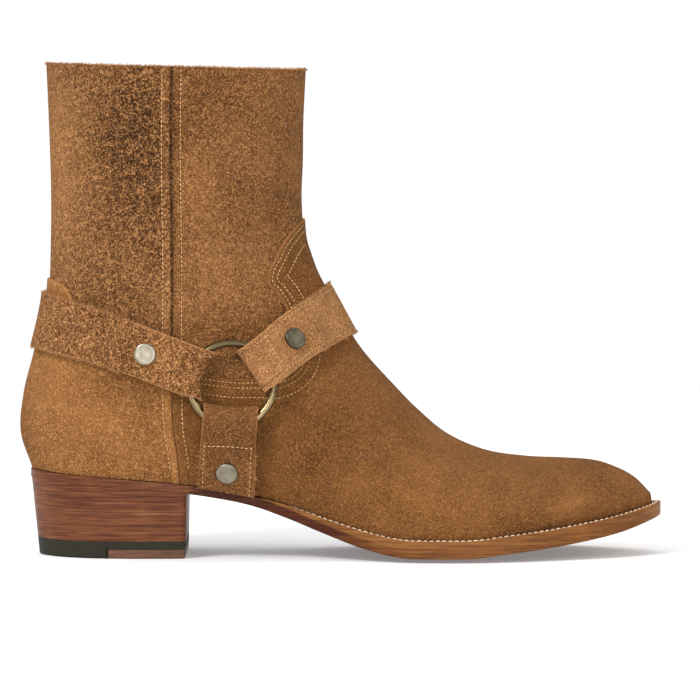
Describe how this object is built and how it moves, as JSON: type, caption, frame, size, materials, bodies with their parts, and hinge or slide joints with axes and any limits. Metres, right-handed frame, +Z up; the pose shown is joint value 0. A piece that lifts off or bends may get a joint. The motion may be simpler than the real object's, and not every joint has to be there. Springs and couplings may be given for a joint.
{
  "type": "harness boot",
  "caption": "Right ankle boot in tan suede with a ring harness at the ankle, a stacked leather heel and a welted leather sole.",
  "frame": {"origin": "on the floor, under the middle of the boot's length and width", "axes": "+X from heel to toe, +Y to the inner side of the foot, +Z up"},
  "size_m": [0.3012, 0.1028, 0.23],
  "materials": {
    "suede": "matt tan suede with a short nap",
    "strap_suede": "matt tan suede with raw edges",
    "insole_leather": "smooth lining leather",
    "sole_leather": "burnished brown edge",
    "heel_leather": "burnished stacked leather",
    "heel_rubber": "dark matt rubber",
    "ring_metal": "antique brass, polished by wear"
  },
  "bodies": {
    "root": {"upper": "suede", "insole": "insole_leather", "outsole": "sole_leather", "welt": "sole_leather", "heel_lift_1": "heel_leather", "heel_lift_2": "heel_leather", "heel_lift_3": "heel_leather", "heel_lift_4": "heel_leather", "heel_lift_5": "heel_leather", "heel_lift_6": "heel_leather", "top_piece": "heel_rubber", "top_piece_tip": "heel_leather", "rear_strap": "strap_suede", "front_strap": "strap_suede", "down_strap_lateral": "strap_suede", "ring_lateral": "ring_metal", "rear_rivet_lateral": "ring_metal", "front_rivet_lateral": "ring_metal", "down_rivet_lateral": "ring_metal", "down_strap_medial": "strap_suede", "ring_medial": "ring_metal", "rear_rivet_medial": "ring_metal", "front_rivet_medial": "ring_metal", "down_rivet_medial": "ring_metal"}
  },
  "joints": []
}
